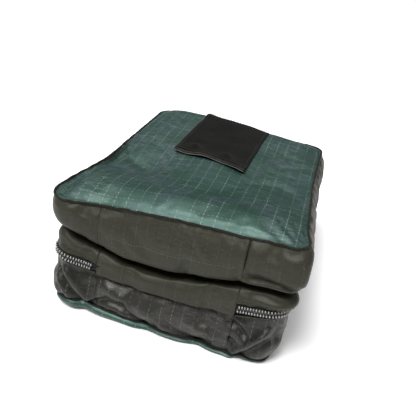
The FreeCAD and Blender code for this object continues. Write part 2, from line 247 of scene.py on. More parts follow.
def through(knots, steps):
    """Catmull-Rom values at steps (0 to the last knot) through knots of shape (knots, columns)."""
    padded = np.concatenate([[2 * knots[0] - knots[1]], knots, [2 * knots[-1] - knots[-2]]])
    cell = np.minimum(steps.astype(int), len(knots) - 2)
    t = (steps - cell)[:, None]
    p0, p1, p2, p3 = (padded[cell + i] for i in range(4))
    bend = 2 * p0 - 5 * p1 + 4 * p2 - p3
    return 0.5 * (2 * p1 + (p2 - p0) * t + bend * t**2 + (3 * p1 - p0 - 3 * p2 + p3) * t**3)


def wall_knots(s):
    """Heights and insets of the profile's knots at each distance s, each (knots, columns)."""
    levels = np.array([around(name, s) for name in LEVELS])
    share = {}
    for kind, rows in PROFILE.items():
        z = np.array([levels[i] + f * (levels[i + 1] - levels[i]) for i, f, _ in rows])
        d = np.array([np.full(len(s), inset, float) for _, _, inset in rows])
        share[kind] = (z, d)
    front, side = around("front", s), around("side", s)
    z = share["plain"][0] * (1 - front) + share["front"][0] * front
    d = share["plain"][1] * (1 - front) + share["front"][1] * front
    knot = np.arange(len(z))[:, None]
    for middle, half, inset in SIDE_SWELL:
        d += hump(knot, middle, half) * inset * side
    for name, weights in PUSH.items():
        d[: len(weights)] -= np.array(weights)[:, None] * around(name, s)
    return z, d


def wall_steps(rows):
    """Steps along the profile that give rows of even height, with one on the zip's line."""
    s = np.array([at_front(0.0), 218.0])
    z, d = wall_knots(s)
    fine = np.linspace(0, len(z) - 1, 600)
    length = np.hypot(np.diff(through(z, fine), axis=0), np.diff(through(d, fine), axis=0))
    far = np.concatenate([[0], np.cumsum(length.mean(1))])
    zip_far = np.interp(ZIP_KNOT, fine, far)
    below = round(rows * zip_far / far[-1])
    even = np.concatenate(
        [np.linspace(0, zip_far, below + 1), np.linspace(zip_far, far[-1], rows - below)[1:]]
    )
    steps = np.interp(even, far, fine)
    steps[below] = ZIP_KNOT
    return steps, even - zip_far, below


# Folds pressed into the front wall: places along the fold (x, z), depth (negative stands out),
# and half width.
FOLDS = [
    (((-99, 44), (-88, 31), (-80, 19), (-73, 8)), 6.5, 2.6),
    (((-92, 46), (-80, 34), (-71, 22), (-64, 12)), -4.0, 4.0),
    (((-98, 26), (-92, 20), (-90, 10)), 3.2, 2.2),
    (((-94, 34), (-90, 24), (-86, 14)), -2.4, 2.4),
    (((-72, 9), (-50, 20), (-34, 18), (-18, 10), (-6, 6)), 6.0, 3.4),
    (((-62, 38), (-40, 30), (-18, 25), (4, 17)), -3.4, 5.5),
    (((-2, 20), (14, 11), (32, 6), (44, 5)), 4.8, 3.0),
    (((14, 30), (34, 22), (54, 18)), -2.4, 5.0),
    (((54, 36), (65, 33), (75, 25)), 5.4, 2.4),
    (((62, 2), (76, 22), (90, 40)), -5.0, 2.6),
    (((70, 2), (84, 20), (96, 31)), 4.8, 3.0),
    (((57, 22), (64, 17), (68, 10)), 3.4, 2.2),
    (((88, 44), (97, 39), (98, 20)), 3.6, 2.4),
    (((60, 83), (74, 85), (88, 87), (106, 84)), 5.0, 2.4),
    (((60, 77.5), (74, 80), (88, 82), (106, 79)), -2.4, 2.4),
    (((64, 67), (80, 70), (100, 69)), 2.4, 2.0),
    (((34, 64), (33, 55), (34, 44)), 1.6, 1.8),
    (((-96, 70), (-82, 62), (-68, 58)), 2.0, 2.6),
    (((-92, 84), (-80, 80), (-70, 78)), 1.8, 2.4),
    (((70, 62), (84, 60), (100, 62)), 1.2, 2.6),
    (((-60, 112), (-62, 96), (-64, 82)), 0.8, 1.5),
    (((60, 114), (60, 98), (62, 82)), 1.1, 1.5),
    (((66, 108), (68, 96), (66, 86)), -0.9, 3.0),
    (((76, 108), (88, 105), (99, 99)), 0.9, 1.5),
    (((74, 102), (88, 98), (101, 90)), -0.8, 1.7),
    (((78, 95), (90, 92), (102, 84)), 0.9, 1.5),
    (((-40, 106), (-28, 94), (-22, 84)), 0.7, 2.2),
    (((20, 108), (26, 96), (40, 86)), -0.6, 3.0),
]


# Dips and ridges in the top, given the same way with places (x, y).
TOP_FOLDS = [
    (((-94, -4), (-78, -24), (-60, -36), (-42, -44)), 2.8, 6.5),
    (((-88, -34), (-72, -50), (-54, -60)), -1.3, 6.0),
    (((34, -34), (50, -20), (66, -16), (86, -26)), 1.8, 5.0),
    (((30, -52), (52, -42), (80, -46)), -1.0, 6.0),
    (((-78, 20), (-64, 6), (-50, 0)), 1.2, 4.5),
    (((-88, 62), (-72, 50), (-56, 46)), 1.0, 4.5),
    (((52, 62), (66, 50), (86, 46)), 1.0, 4.5),
    (((48, 12), (62, 4), (80, 8)), 0.9, 4.5),
]


def fold_depth(x, z, folds):
    """How far each point of a panel is pressed in by its folds."""
    total = np.zeros_like(x)
    for places, depth, half in folds:
        places = np.array(places, float)
        near = np.full(x.shape, 1e9)
        along = np.zeros_like(x)
        count = len(places) - 1
        for i in range(count):
            a, b = places[i], places[i + 1]
            way = b - a
            t = ((x - a[0]) * way[0] + (z - a[1]) * way[1]) / (way @ way)
            t = np.clip(t, 0, 1)
            gap = np.hypot(x - a[0] - t * way[0], z - a[1] - t * way[1])
            along = np.where(gap < near, (i + t) / count, along)
            near = np.minimum(near, gap)
        ends = smooth(0, 0.22, along) * smooth(0, 0.22, 1 - along) * 0.75 + 0.25
        total += depth * ends * hump(near, 0, half)
    return total


def make_mesh(name, verts, faces, uv=None):
    """A smooth mesh object from millimetres, with its flat cloth coordinates as its UV map."""
    data = bpy.data.meshes.new(name)
    data.from_pydata((np.asarray(verts) * MM).tolist(), [], [list(map(int, f)) for f in faces])
    data.polygons.foreach_set("use_smooth", [True] * len(data.polygons))
    if uv is not None:
        layer = data.uv_layers.new(name="cloth")
        index = np.empty(len(data.loops), int)
        data.loops.foreach_get("vertex_index", index)
        flat = np.asarray(uv, float)[index] if len(uv) == len(verts) else np.asarray(uv, float)
        layer.data.foreach_set("uv", flat.ravel())
    data.validate()
    return add_object(name, data)


def coords(made):
    """The mesh's vertices as an array, in millimetres."""
    flat = np.empty(len(made.data.vertices) * 3)
    made.data.vertices.foreach_get("co", flat)
    return flat.reshape(-1, 3) / MM


def set_coords(made, places):
    """Moves the mesh's vertices to places in millimetres."""
    made.data.vertices.foreach_set("co", (places * MM).ravel())
    made.data.update()


def settle_cloth(made, held, pressure, excess, cap):
    """Lets a cloth sheet with a little spare cloth crumple between its held seams."""
    start = coords(made)
    group = made.vertex_groups.new(name="held")
    group.add([int(i) for i in np.nonzero(held)[0]], 1.0, "REPLACE")
    cloth = made.modifiers.new("cloth", "CLOTH")
    cloth.settings.quality = 5
    cloth.settings.mass = 0.15
    cloth.settings.tension_stiffness = CLOTH_STIFF
    cloth.settings.compression_stiffness = CLOTH_STIFF
    cloth.settings.shear_stiffness = CLOTH_STIFF / 2
    cloth.settings.bending_stiffness = CLOTH_BEND
    cloth.settings.air_damping = 2
    cloth.settings.vertex_group_mass = "held"
    cloth.settings.shrink_min = -excess
    cloth.settings.use_pressure = pressure != 0
    cloth.settings.uniform_pressure_force = pressure
    cloth.settings.effector_weights.gravity = 0
    cloth.collision_settings.use_collision = False
    cloth.point_cache.frame_start = 1
    cloth.point_cache.frame_end = CLOTH_FRAMES
    for step in range(1, CLOTH_FRAMES + 1):
        bpy.context.scene.frame_set(step)
    view = bpy.context.evaluated_depsgraph_get()
    moved = np.empty(len(made.data.vertices) * 3)
    made.evaluated_get(view).data.vertices.foreach_get("co", moved)
    moved = moved.reshape(-1, 3) / MM
    made.modifiers.remove(cloth)
    made.vertex_groups.remove(group)
    bpy.context.scene.frame_set(1)
    shift = moved - start
    reach = np.linalg.norm(shift, axis=1, keepdims=True)
    set_coords(made, start + shift * cap * np.tanh(reach / cap) / np.maximum(reach, 1e-6))


def refine(made, thick=0.0, levels=1):
    """Applies one smooth subdivision, and gives the cloth its thickness."""
    if levels:
        made.modifiers.new("smooth", "SUBSURF").levels = levels
    if thick:
        solid = made.modifiers.new("thickness", "SOLIDIFY")
        solid.thickness = thick * MM
        solid.offset = -1
    view = bpy.context.evaluated_depsgraph_get()
    data = bpy.data.meshes.new_from_object(made.evaluated_get(view))
    made.modifiers.clear()
    made.data = data
    data.polygons.foreach_set("use_smooth", [True] * len(data.polygons))


# ------------ materials


def material(name, rough, specular):
    """A new material with its node tree and its shader."""
    made = bpy.data.materials.new(name)
    made.use_nodes = True
    tree = made.node_tree
    shader = tree.nodes["Principled BSDF"]
    shader.inputs["Roughness"].default_value = rough
    shader.inputs["Specular IOR Level"].default_value = specular
    return made, tree, shader


def node(tree, kind, settings=None, **inputs):
    """Adds a node; settings are its properties, and inputs are values or other nodes' outputs."""
    made = tree.nodes.new(kind)
    for key, setting in (settings or {}).items():
        setattr(made, key, setting)
    for key, item in inputs.items():
        by_index = key[0] == "i" and key[1:].isdigit()
        socket = made.inputs[int(key[1:]) if by_index else key]
        if isinstance(item, bpy.types.NodeSocket):
            tree.links.new(item, socket)
        else:
            socket.default_value = item
    return made


def math_node(tree, operation, *items):
    """The result of an operation on values or outputs."""
    inputs = {f"i{i}": item for i, item in enumerate(items)}
    return node(tree, "ShaderNodeMath", {"operation": operation}, **inputs).outputs[0]


def times(tree, first, second):
    """The product of two values or outputs."""
    return math_node(tree, "MULTIPLY", first, second)


def ramp(tree, factor, low, high, to_low=0.0, to_high=1.0):
    """A factor carried smoothly from the range low to high into the range to_low to to_high."""
    kind = {"interpolation_type": "SMOOTHSTEP"}
    ends = {"From Min": low, "From Max": high, "To Min": to_low, "To Max": to_high}
    return node(tree, "ShaderNodeMapRange", kind, Value=factor, **ends).outputs["Result"]


def mix_colour(tree, factor, first, second):
    """Two colours mixed by a factor."""
    made = node(tree, "ShaderNodeMix", {"data_type": "RGBA"})
    for index, item in ((0, factor), (6, first), (7, second)):
        if isinstance(item, bpy.types.NodeSocket):
            tree.links.new(item, made.inputs[index])
        else:
            made.inputs[index].default_value = item
    return made.outputs[2]


def noise(tree, vector, scale, detail=2.0, rough=0.5):
    """Blender's own noise, as one value."""
    inputs = {"Vector": vector, "Scale": scale, "Detail": detail, "Roughness": rough}
    return node(tree, "ShaderNodeTexNoise", **inputs).outputs["Fac"]


def ripstop_cloth(
    name, base, yarn, glint, rough, strength, cross, specular, tint, slubs, cool,
    pitch=9.5, side_wear=0.0, crumple=0.12,
):
    """Coated ripstop: a fine weave, thicker yarns on a square grid with painted glints, wear and
    colour drift.
    """
    made, tree, shader = material(name, rough, specular)
    shader.inputs["Specular Tint"].default_value = tint
    flat = node(tree, "ShaderNodeUVMap", {"uv_map": "cloth"}).outputs["UV"]
    parts = node(tree, "ShaderNodeSeparateXYZ", Vector=flat)
    place = node(tree, "ShaderNodeTexCoord").outputs["Object"]
    lines = []
    for axis, other, share in (("X", "Y", 1.0), ("Y", "X", cross)):
        run = parts.outputs[axis]
        wobble = times(tree, noise(tree, place, 60.0), 1.2)
        cell = math_node(tree, "DIVIDE", math_node(tree, "ADD", run, wobble), pitch)
        fold = math_node(tree, "PINGPONG", cell, 0.5)
        line = ramp(tree, fold, 0.02, 0.045, 1.0, 0.0)
        beat = math_node(tree, "DIVIDE", parts.outputs[other], 3.6)
        dash = ramp(tree, math_node(tree, "PINGPONG", beat, 0.5), 0.2, 0.3, 0.15, 1.0)
        broken = times(tree, line, dash)
        lines.append(times(tree, broken, share))
    drifted = [base[0] * (1 + cool), base[1], base[2] * (1 + cool), 1]
    faded = [0.6 * yarn[0] + 0.4 * yarn[1] + 0.04, yarn[1] + 0.035, yarn[2] + 0.05, 1]
    grid = math_node(tree, "MAXIMUM", *lines)
    patchy = ramp(tree, noise(tree, place, 38.0, 3.0), 0.38, 0.62, 0.25, 1.0)
    grid = times(tree, grid, patchy)
    drift = noise(tree, place, 32.0, 4.0, 0.6)
    weave_x = math_node(tree, "SINE", times(tree, parts.outputs["X"], 7.0))
    weave_y = math_node(tree, "SINE", times(tree, parts.outputs["Y"], 7.0))
    weave = times(tree, weave_x, weave_y)
    speck = noise(tree, place, 700.0, 2.0)
    colour = mix_colour(tree, ramp(tree, drift, 0.45, 0.58), base, drifted)
    fleck = times(tree, ramp(tree, speck, 0.45, 0.75), 0.35)
    colour = mix_colour(tree, fleck, colour, yarn)
    run = node(tree, "ShaderNodeMapping", Vector=place, Scale=(120.0, 800.0, 800.0)).outputs[0]
    slub = ramp(tree, noise(tree, run, 1.0, 2.0), 0.49, 0.62)
    across = node(tree, "ShaderNodeSeparateXYZ", Vector=place).outputs["X"]
    beside = ramp(tree, math_node(tree, "ABSOLUTE", across), 0.02, 0.075, 0.0, side_wear)
    worn = ramp(tree, math_node(tree, "ADD", noise(tree, place, 16.0, 2.0), beside), 0.45, 0.65)
    slub = times(tree, times(tree, slub, worn), slubs)
    colour = mix_colour(tree, slub, colour, faded)
    # The grid lines take the pale glint colour: painted highlights on the thicker yarns.
    colour = mix_colour(tree, times(tree, grid, strength), colour, glint)
    tree.links.new(colour, shader.inputs["Base Color"])
    uneven = ramp(tree, noise(tree, place, 30.0, 3.0), 0.3, 0.7, rough - 0.03, rough + 0.05)
    shine = math_node(tree, "SUBTRACT", uneven, times(tree, grid, 0.12))
    tree.links.new(shine, shader.inputs["Roughness"])
    height = math_node(tree, "ADD", times(tree, weave, 0.12), grid)
    height = math_node(tree, "ADD", height, times(tree, speck, 0.5))
    fine = node(tree, "ShaderNodeBump", Strength=0.35, Distance=0.0004, Height=height)
    crease = noise(tree, place, 90.0, 4.0, 0.65)
    bump = node(
        tree, "ShaderNodeBump", Strength=crumple, Distance=0.002, Height=crease,
        Normal=fine.outputs[0],
    )
    tree.links.new(bump.outputs[0], shader.inputs["Normal"])
    return made


def plain_textile(name, base, second, rough, scale=900.0, lump=0.0006, sheen=0.05, soil=0.5):
    """A matt textile with a fine tangled or ribbed surface: tape, binding, loop pile or piping."""
    made, tree, shader = material(name, rough, 0.1)
    place = node(tree, "ShaderNodeTexCoord").outputs["Object"]
    pile = noise(tree, place, scale, 4.0, 0.75)
    patchy = noise(tree, place, 45.0, 3.0)
    colour = mix_colour(tree, ramp(tree, pile, 0.35, 0.7), base, second)
    soiled = [c * 0.6 for c in base[:3]] + [1]
    colour = mix_colour(tree, ramp(tree, patchy, 0.35, 0.75, 0.0, soil), colour, soiled)
    tree.links.new(colour, shader.inputs["Base Color"])
    bump = node(tree, "ShaderNodeBump", Strength=0.8, Distance=lump, Height=pile)
    tree.links.new(bump.outputs[0], shader.inputs["Normal"])
    shader.inputs["Sheen Weight"].default_value = sheen
    return made


def hard(name, base, second, rough, metal, scale):
    """Moulded plastic or coated metal with faint scuffs and uneven gloss."""
    made, tree, shader = material(name, rough, 0.5)
    place = node(tree, "ShaderNodeTexCoord").outputs["Object"]
    worn = noise(tree, place, scale, 5.0, 0.7)
    colour = mix_colour(tree, ramp(tree, worn, 0.45, 0.8), base, second)
    tree.links.new(colour, shader.inputs["Base Color"])
    gloss = ramp(tree, noise(tree, place, scale * 3, 3.0), 0.3, 0.7, rough - 0.06, rough + 0.1)
    tree.links.new(gloss, shader.inputs["Roughness"])
    bump = node(tree, "ShaderNodeBump", Strength=0.2, Distance=0.0001, Height=worn)
    tree.links.new(bump.outputs[0], shader.inputs["Normal"])
    shader.inputs["Metallic"].default_value = metal
    return made


def lower_cloth(name, base, yarn):
    """The brown ripstop of the lower wall, in its own colour or darkened as painted shade for the
    sides.
    """
    return ripstop_cloth(
        name, base, yarn, (0.22, 0.20, 0.20, 1), rough=0.43, strength=0.4, cross=0.3,
        specular=0.42, tint=(1.0, 1.0, 0.93, 1), slubs=0.4, cool=0.15, crumple=0.32,
    )


MATERIALS = {
    "top": ripstop_cloth(
        "teal_ripstop", (0.0085, 0.0305, 0.021, 1), (0.020, 0.050, 0.038, 1),
        (0.26, 0.34, 0.30, 1), rough=0.47, strength=0.45, cross=0.6, specular=0.75,
        tint=(0.66, 1.0, 0.88, 1), slubs=0.62, cool=0.5, pitch=10.3, side_wear=0.15,
    ),
    "upper": ripstop_cloth(
        "olive_ripstop", (0.0195, 0.020, 0.0122, 1), (0.040, 0.040, 0.028, 1),
        (0.14, 0.14, 0.12, 1), rough=0.5, strength=0.16, cross=0.5, specular=0.3,
        tint=(1.0, 1.0, 0.9, 1), slubs=0.12, cool=0.1,
    ),
    "lower": lower_cloth("umber_ripstop", (0.0135, 0.0135, 0.0105, 1), (0.031, 0.030, 0.026, 1)),
    # The lower wall's wrap round the sides and back takes the same cloth darkened: painted shade.
    "lower_side_painted_shade": lower_cloth(
        "lower_ripstop_painted_shade", (0.0072, 0.0078, 0.0056, 1), (0.019, 0.0195, 0.016, 1)
    ),
}
# Matt textiles: name, two colours, roughness, then the scale, lump, sheen and soil of the pile.
TEXTILES = {
    "piping": ("piping_cloth", (0.010, 0.0105, 0.008, 1), (0.024, 0.024, 0.019, 1), 0.7),
    "tape": ("zip_tape_cloth", (0.008, 0.008, 0.007, 1), (0.025, 0.025, 0.022, 1), 0.75),
    "binding": ("binding_tape", (0.010, 0.010, 0.009, 1), (0.03, 0.03, 0.028, 1), 0.8),
    "loop": (
        "loop_pile", (0.0016, 0.0015, 0.0013, 1), (0.0125, 0.012, 0.011, 1), 0.95,
        750.0, 0.0014, 0.04,
    ),
    "foam": (
        "open_foam", (0.40, 0.39, 0.35, 1), (0.52, 0.51, 0.47, 1), 0.95,
        1500.0, 0.0006, 0.05, 0.12,
    ),
    "hem": ("patch_hem", (0.016, 0.0155, 0.014, 1), (0.05, 0.048, 0.044, 1), 0.85, 700.0),
    "thread": ("thread", (0.10, 0.098, 0.09, 1), (0.22, 0.21, 0.20, 1), 0.6, 2500.0),
    "dark_thread": ("dark_thread", (0.03, 0.03, 0.026, 1), (0.07, 0.07, 0.06, 1), 0.6),
}
# Hard finishes: name, two colours, roughness, how metallic, and the scale of the scuffs.
FINISHES = {
    # The zip coil is one material in two tones: the pale teeth colour is a painted glint on its
    # loops, the dark heads colour painted shade between them.
    "teeth": ("zip_teeth", (0.34, 0.34, 0.325, 1), (0.15, 0.15, 0.145, 1), 0.26, 0.55, 400.0),
    "heads": ("zip_heads_painted_shade", (0.05, 0.05, 0.047, 1), (0.12, 0.12, 0.115, 1), 0.35, 0.2, 400.0),
    "metal": ("slider_enamel", (0.022, 0.022, 0.024, 1), (0.12, 0.12, 0.12, 1), 0.3, 0.6, 260.0),
}
MATERIALS.update({key: plain_textile(*row) for key, row in TEXTILES.items()})
MATERIALS.update({key: hard(*row) for key, row in FINISHES.items()})


def dress(made, finish, body, slot, *nodes):
    """Gives a piece its material, the body that it rides on and the CAD nodes it stands for."""
    made.data.materials.clear()
    made.data.materials.append(MATERIALS[finish])
    if body:
        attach(made, body)
    if nodes:
        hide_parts(*nodes)
    return made


# ------------ the wall


def spread(low, high, pitch):
    """Even stops from low to high, as near to pitch apart as they can be."""
    count = max(2, round((high - low) / pitch))
    return np.linspace(low, high, count + 1)


LEFT_SEAM, RIGHT_SEAM = at_front(-HINGE_HALF), at_front(HINGE_HALF)
WALL_PITCH = 2.2
WALL_ROW_COUNT = 64
WALL_CLEAR = 2.0  # the wall keeps this far above the floor
EASE_X, EASE_Y = (105.0, 108.3), (130.0, 134.1)  # where easing starts, and where it ends


def eased(x, free, most):
    """Eases in whatever lies beyond free, so that nothing passes most."""
    over, room = np.maximum(np.abs(x) - free, 0), most - free
    return np.sign(x) * (np.minimum(np.abs(x), free) + room * np.tanh(over / room))


def held_in(places):
    """Keeps the cover's corners from standing out by more than the cloth has room for."""
    places[:, 0] = eased(places[:, 0], *EASE_X)
    places[:, 1] = eased(places[:, 1], *EASE_Y)
    return places


def build_wall():
    """The whole wall as one tube of cloth, crumpled, with its rows, columns and flat places."""
    stops = (0, LEFT_SEAM, RIGHT_SEAM, ROUND)
    columns = np.concatenate([spread(a, b, WALL_PITCH)[:-1] for a, b in zip(stops, stops[1:])])
    steps, far, zip_row = wall_steps(WALL_ROW_COUNT)
    z, d = wall_knots(columns)
    z, d = through(z, steps), through(d, steps)
    place, normal = outline_at(columns)
    front = smooth(-100, -116, place[:, 1])[None, :]
    x = place[None, :, 0] - d * normal[None, :, 0]
    d = d + fold_depth(x, z, FOLDS) * front
    rows, count = z.shape
    wide = [np.broadcast_to(place[:, i], z.shape) for i in (0, 1)]
    spot = np.stack([*wide, z]).reshape(3, -1).T
    free = np.sin(np.pi * np.clip(np.arange(rows) / (rows - 1), 0, 1))[:, None] ** 0.5
    low = smooth(48, 34, z)
    d = d + (waves(spot, 3, 46) * 0.6 + waves(spot, 5, 22) * 0.3).reshape(z.shape) * free
    d = d + (waves(spot, 7, 13) * 0.45 + waves(spot, 8, 24) * 0.5).reshape(z.shape) * free * low
    flat = [place[None, :, i] - d * normal[None, :, i] for i in (0, 1)]
    verts = np.stack([*flat, z], axis=-1).reshape(-1, 3)
    verts[:, 2] = np.maximum(verts[:, 2], WALL_CLEAR)
    verts = held_in(verts)
    faces, corners = [], []
    for r in range(rows - 1):
        for c in range(count):
            after = (c + 1) % count
            quad = (r * count + c, r * count + after, (r + 1) * count + after, (r + 1) * count + c)
            faces.append(quad)
            left, right = columns[c], columns[after] if after else ROUND
            corners += [(left, far[r]), (right, far[r]), (right, far[r + 1]), (left, far[r + 1])]
    made = make_mesh("wall", verts, faces, corners)
    row_of = np.repeat(np.arange(rows), count)
    column_of = np.tile(np.arange(count), rows)
    hinge = (columns > LEFT_SEAM + 1) & (columns < RIGHT_SEAM - 1)
    beside_zip = np.abs(row_of - zip_row) <= 1
    upright = np.isin(columns, (LEFT_SEAM, RIGHT_SEAM))[column_of]
    held = (row_of == 0) | (row_of == rows - 1) | (beside_zip & ~hinge[column_of])
    near_zip = smooth(16, 7, np.abs(far[row_of] + 3))
    band = smooth(2, 8, far[row_of]) * smooth(52, 36, far[row_of])
    upper = smooth(6, 24, far[row_of])
    cap = (3.0 - 1.4 * upper) * (1 - near_zip) + 0.7 * near_zip
    cap = cap * (1 - band) + 0.8 * band
    settle_cloth(made, held | (upright & (row_of % 2 == 0)), 1.0, 0.035, cap[:, None])
    set_coords(made, held_in(coords(made)))
    return made, columns, far, rows


wall, COLUMNS, WALL_FAR, WALL_ROWS = build_wall()
WALL_GRID = coords(wall).reshape(WALL_ROWS, len(COLUMNS), 3)


def wall_piece(name, keep_row, keep_column):
    """A copy of the wall with only some of its cells: a sewn panel of its own."""
    made = add_object(name, wall.data.copy())
    made.data.name = name
    count = len(COLUMNS)
    mesh = bmesh.new()
    mesh.from_mesh(made.data)
    mesh.faces.ensure_lookup_table()
    drop = []
    for index, face in enumerate(mesh.faces):
        row, column = divmod(index, count)
        if not (keep_row(row) and keep_column(column)):
            drop.append(face)
    bmesh.ops.delete(mesh, geom=drop, context="FACES")
    mesh.to_mesh(made.data)
    mesh.free()
    refine(made, CLOTH)
    return made


def in_hinge(column):
    """Whether a column of the wall's cells belongs to the plain hinge panel."""
    middle = COLUMNS[column] + WALL_PITCH / 2
    return LEFT_SEAM < middle < RIGHT_SEAM


def below_zip(row):
    """Whether a row of cells lies below the zip's opening."""
    return (WALL_FAR[row] + WALL_FAR[row + 1]) / 2 < -ZIP_OPENING + 1


def above_zip(row):
    """Whether a row of cells lies above the zip's opening."""
    return (WALL_FAR[row] + WALL_FAR[row + 1]) / 2 > ZIP_OPENING - 1


upper_wrap = wall_piece("upper_wall_wrap", above_zip, lambda c: not in_hinge(c))
lower_wrap = wall_piece("lower_wall_wrap", below_zip, lambda c: not in_hinge(c))
hinge_panel = wall_piece("front_hinge_panel", lambda r: True, in_hinge)
dress(upper_wrap, "upper", "lid", "upper_wall_cloth", "upper_gusset_wrap")
# The wrap gets the darkened lower cloth: painted shade on the sides and back.
dress(lower_wrap, "lower_side_painted_shade", "base", "lower_wall_cloth", "lower_gusset_wrap")
dress(hinge_panel, "upper", None, "upper_wall_cloth", "upper_gusset_front", "lower_gusset_front")
hinge_panel.data.materials.append(MATERIALS["lower"])
for face in hinge_panel.data.polygons:
    if face.center.z < LIP_Z * MM:
        face.material_index = 1
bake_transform(hinge_panel)


def wall_point(s, height):
    """A point on the crumpled wall at a distance round it, and a flat height from the zip."""
    column = np.interp(np.mod(s, ROUND), np.append(COLUMNS, ROUND), np.arange(len(COLUMNS) + 1))
    row = np.interp(height, WALL_FAR, np.arange(WALL_ROWS))
    c0, r0 = np.floor(column).astype(int), np.floor(row).astype(int)
    r1 = np.minimum(r0 + 1, WALL_ROWS - 1)
    tc, tr = (column - c0)[..., None], (row - r0)[..., None]
    c0, c1 = c0 % len(COLUMNS), (c0 + 1) % len(COLUMNS)
    low = WALL_GRID[r0, c0] * (1 - tc) + WALL_GRID[r0, c1] * tc
    high = WALL_GRID[r1, c0] * (1 - tc) + WALL_GRID[r1, c1] * tc
    return low * (1 - tr) + high * tr


def wall_frame(s, height):
    """Points on the wall with their directions along, up and out."""
    place = wall_point(s, height)
    along = unit(wall_point(s + 1.5, height) - wall_point(s - 1.5, height))
    up = wall_point(s, height + 1.2) - wall_point(s, height - 1.2)
    out = unit(np.cross(along, up))
    return place, along, np.cross(out, along), out


# ------------ the top and bottom panels


def seam_curve(row, count=800):
    """A closed run of points along the wall's first or last row."""
    s = np.linspace(0, ROUND, count, endpoint=False)
    return s, wall_point(s, np.full(count, WALL_FAR[row]))


CORNER_PULL = 0.94  # the square net reaches this share of the half sizes


def panel_grid(row, across, along, crowd=0.0):
    """A net of points that fills a seam, closer together near it where crowd is above 0."""
    s, rim = seam_curve(row)
    rim = np.concatenate([rim, outline_at(s)[1]], axis=1)
    u, v = (np.linspace(-1, 1, count) for count in (across, along))
    u, v = (t * (1 + crowd * (1 - t**2)) for t in (u, v))
    u, v = (t.ravel() for t in np.meshgrid(u, v))
    reach = np.maximum(np.abs(u), np.abs(v))
    edge_u, edge_v = u / np.maximum(reach, 1e-6), v / np.maximum(reach, 1e-6)
    turn = np.arctan2(edge_v * HALF_Y, edge_u * HALF_X)
    rim_turn = np.arctan2(rim[:, 1], rim[:, 0])
    order = np.argsort(rim_turn)
    rim_turn, rim = rim_turn[order], rim[order]
    rim_turn = np.concatenate([rim_turn - 2 * np.pi, rim_turn, rim_turn + 2 * np.pi])
    rim = np.tile(rim, (3, 1))
    out = np.stack([np.interp(turn, rim_turn, rim[:, i]) for i in range(5)], axis=-1)
    square = np.stack([u * HALF_X, v * HALF_Y], axis=-1) * CORNER_PULL
    full = np.stack([edge_u * HALF_X, edge_v * HALF_Y], axis=-1) * CORNER_PULL
    place = square + (out[:, :2] - full) * reach[:, None] ** 5
    return place, out[:, 2], out[:, 3:], reach, (across, along)


def seam_height(x, y):
    """Height of the top seam's surface under any place on the top."""
    front = np.interp(x, (-100, -70, -34, 10, 58, 100), (108, 108, 111, 114, 115.5, 118))
    back = np.interp(x, (-100, 0, 100), (120, 118, 116.5))
    return front + (back - front) * (y / HALF_Y + 1) / 2


# Heights of the top along three lines from front to back.
TOP_Y = (-122, -116, -105, -94, -78, -62, -46, -30, -10, 15, 45, 80, 105, 115, 122)
TOP_LINES = {
    -60: (
        108, 113, 117.5, 118.5, 116.5, 113, 110.5, 110.5,
        114.5, 120, 124, 128, 129.5, 126.5, 119.5,
    ),
    5: (
        113.5, 118.5, 122.5, 122, 118, 115, 115.5, 118,
        120, 122, 124.5, 127.5, 127.5, 124, 118,
    ),
    64: (
        116, 120.5, 123, 122.5, 120, 118.5, 117, 115.5,
        115, 117.5, 120.5, 123, 123, 120.5, 116.5,
    ),
}


def top_height(x, y):
    """The top panel: a crowned roll along the front, a valley behind it, and a full back."""
    step = np.interp(y, TOP_Y, np.arange(len(TOP_Y)))
    lines = np.array(list(TOP_LINES.values()), float).T
    lines = through(lines, np.minimum(step, len(TOP_Y) - 1.001))
    share = smooth(-62, 4, x), smooth(4, 66, x)
    high = lines[:, 0] + (lines[:, 1] - lines[:, 0]) * share[0]
    high += (lines[:, 2] - lines[:, 1]) * share[1]
    level = seam_height(x, y)
    edge = np.maximum(HALF_X - 3 - np.abs(x), 0)
    return level + (high - level) * (1 - np.exp(-edge / 8.5))


def grid_faces(across, along):
    """The quads of a net of points."""
    return [
        (r * across + c, r * across + c + 1, (r + 1) * across + c + 1, (r + 1) * across + c)
        for r in range(along - 1)
        for c in range(across - 1)
    ]


def gathers(x, y):
    """Fine folds that fan out over the top from its front right corner."""
    from_corner = np.hypot(x - HALF_X - 4, y + HALF_Y + 4)
    turn = np.arctan2(y + HALF_Y + 4, HALF_X + 4 - x)
    fan = np.sin(turn * 22 + 1.5 * np.sin(turn * 5)) * smooth(6, 20, from_corner)
    return 0.75 * fan * smooth(62, 22, from_corner)


def build_top():
    """The crumpled top panel, tied to the wall's upper seam, with the shape of its net."""
    place, rim_z, _, reach, shape = panel_grid(WALL_ROWS - 1, 104, 128)
    x, y = place.T
    z = top_height(x, y)
    spot = np.stack([x, y], axis=-1)
    free = smooth(1.0, 0.86, reach)
    z += (waves(spot, 11, 60) * 0.35 + waves(spot, 12, 26) * 0.15) * free
    z += waves(spot * np.array([1.0, 0.3]), 13, 11) * 0.4 * smooth(0.9, 0.985, reach) * free
    z += gathers(x, y) - fold_depth(x, y, TOP_FOLDS) * free
    tie = smooth(0.965, 1.0, reach)
    z = z * (1 - tie) + rim_z * tie
    made = make_mesh("top_cloth", np.stack([x, y, z], axis=-1), grid_faces(*shape), place)
    settle_cloth(made, reach > 0.9999, 0.8, 0.008, 1.2)
    return made, shape


top, TOP_GRID = build_top()
TOP_NET = coords(top).reshape(TOP_GRID[1], TOP_GRID[0], 3)
refine(top, CLOTH)
dress(top, "top", "lid", "top_cloth", "top_panel")


